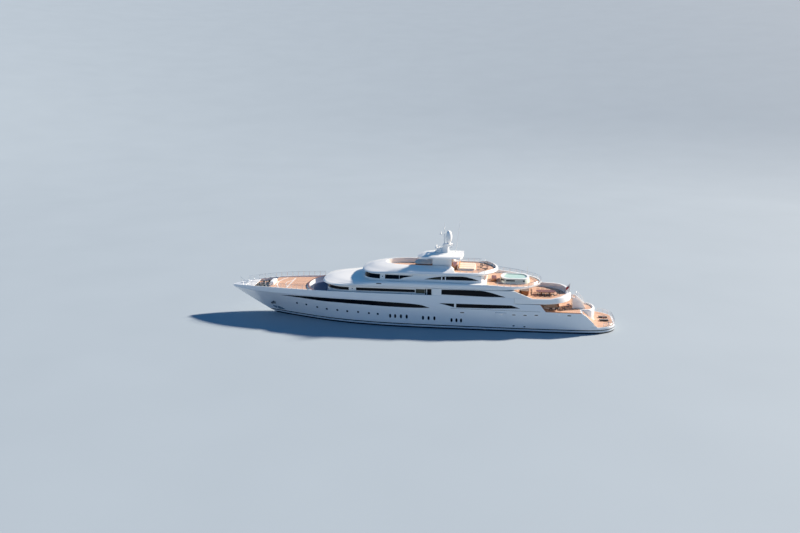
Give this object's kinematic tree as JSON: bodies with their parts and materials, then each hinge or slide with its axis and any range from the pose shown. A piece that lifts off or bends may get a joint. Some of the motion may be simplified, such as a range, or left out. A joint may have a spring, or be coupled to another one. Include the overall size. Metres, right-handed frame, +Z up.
{
  "type": "1:10 scale model motor yacht",
  "caption": "White multi-deck displacement motor yacht with a raked bow, dark window bands, teak decks, mast with dome and round stern platform, as a 1:10 scale model.",
  "frame": {"origin": "on the waterline, amidships, on the centreline", "axes": "+X to the bow, +Y to port, +Z up"},
  "size_m": [8.5, 1.402, 2.6492],
  "materials": {
    "white_paint": "glossy",
    "teak": "bare",
    "varnished_wood": "varnished",
    "dark_glass": "tinted",
    "polished_steel": "polished",
    "galvanised_steel": "galvanised",
    "bronze": "bronze",
    "cushion_fabric": "woven",
    "ensign_cloth": "woven",
    "pool_surface": "glossy"
  },
  "bodies": {
    "ship": {"hull": "white_paint", "upper_house": "white_paint", "bridge_deck": "white_paint", "bridge_house": "white_paint", "sun_deck": "white_paint", "hardtop": "white_paint", "mast": "white_paint", "radome": "white_paint", "whip_antenna": "white_paint", "upper_terrace": "white_paint", "stern_stairs": "white_paint", "pool": "white_paint", "foredeck_planking": "teak", "main_deck_planking": "teak", "terrace_planking": "teak", "sun_deck_planking": "teak", "upper_terrace_planking": "teak", "platform_planking": "teak", "sun_deck_bar": "varnished_wood", "upper_table": "varnished_wood", "upper_bar": "varnished_wood", "hull_window_port": "dark_glass", "hull_window_stbd": "dark_glass", "saloon_window_port": "dark_glass", "saloon_window_stbd": "dark_glass", "upper_window_fore": "dark_glass", "upper_window_port": "dark_glass", "upper_window_stbd": "dark_glass", "bridge_window_fore": "dark_glass", "bridge_window_port": "dark_glass", "bridge_window_stbd": "dark_glass", "mooring_gear": "polished_steel", "jackstaff": "polished_steel", "ensign_staff": "polished_steel", "foredeck_rail_port": "polished_steel", "foredeck_rail_stbd": "polished_steel", "terrace_rail": "polished_steel", "stern_rail": "polished_steel", "anchor_port": "galvanised_steel", "anchor_stbd": "galvanised_steel", "sun_deck_sofa": "cushion_fabric", "main_deck_sofa": "cushion_fabric", "ensign": "ensign_cloth", "pool_water": "pool_surface"},
    "propeller_port": {"propeller_port": "bronze"},
    "propeller_stbd": {"propeller_stbd": "bronze"},
    "rudder_port": {"rudder_port": "white_paint"},
    "rudder_stbd": {"rudder_stbd": "white_paint"},
    "stabiliser_fin_port": {"stabiliser_fin_port": "white_paint"},
    "stabiliser_fin_stbd": {"stabiliser_fin_stbd": "white_paint"},
    "boarding_door_port": {"boarding_door_port": "white_paint"},
    "boarding_door_stbd": {"boarding_door_stbd": "white_paint"},
    "saloon_door_port": {"saloon_door_port": "dark_glass"},
    "saloon_door_stbd": {"saloon_door_stbd": "dark_glass"},
    "radar_scanner_low": {"radar_scanner_low": "white_paint"},
    "radar_scanner_high": {"radar_scanner_high": "white_paint"}
  },
  "joints": [
    {"name": "propeller_port_spin", "type": "hinge", "parent": "ship", "child": "propeller_port", "pos_m": [-3.45, 0.29, -0.285], "axis": [1, 0, 0], "continuous": true},
    {"name": "propeller_stbd_spin", "type": "hinge", "parent": "ship", "child": "propeller_stbd", "pos_m": [-3.45, -0.29, -0.285], "axis": [1, 0, 0], "continuous": true},
    {"name": "rudder_port_steer", "type": "hinge", "parent": "ship", "child": "rudder_port", "pos_m": [-3.72, 0.29, -0.25], "axis": [0, 0, 1], "range_deg": [-35, 35]},
    {"name": "rudder_stbd_steer", "type": "hinge", "parent": "ship", "child": "rudder_stbd", "pos_m": [-3.72, -0.29, -0.25], "axis": [0, 0, 1], "range_deg": [-35, 35]},
    {"name": "fin_port_tilt", "type": "hinge", "parent": "ship", "child": "stabiliser_fin_port", "pos_m": [0.2, 0.565, -0.294], "axis": [0, 0.6428, -0.766], "range_deg": [-20, 20]},
    {"name": "fin_stbd_tilt", "type": "hinge", "parent": "ship", "child": "stabiliser_fin_stbd", "pos_m": [0.2, -0.565, -0.294], "axis": [0, -0.6428, -0.766], "range_deg": [-20, 20]},
    {"name": "boarding_door_port_swing", "type": "hinge", "parent": "ship", "child": "boarding_door_port", "pos_m": [-1.81, 0.6965, 0.422], "axis": [1, 0, 0], "range_deg": [0, 90]},
    {"name": "boarding_door_stbd_swing", "type": "hinge", "parent": "ship", "child": "boarding_door_stbd", "pos_m": [-1.81, -0.6965, 0.422], "axis": [-1, 0, 0], "range_deg": [0, 90]},
    {"name": "saloon_door_port_slide", "type": "slide", "parent": "ship", "child": "saloon_door_port", "axis": [0, 1, 0], "range_m": [0, 0.12]},
    {"name": "saloon_door_stbd_slide", "type": "slide", "parent": "ship", "child": "saloon_door_stbd", "axis": [0, -1, 0], "range_m": [0, 0.12]},
    {"name": "radar_low_spin", "type": "hinge", "parent": "ship", "child": "radar_scanner_low", "pos_m": [-0.38, 0, 1.64], "axis": [0, 0, 1], "continuous": true},
    {"name": "radar_high_spin", "type": "hinge", "parent": "ship", "child": "radar_scanner_high", "pos_m": [-0.47, 0, 1.95], "axis": [0, 0, 1], "continuous": true}
  ]
}
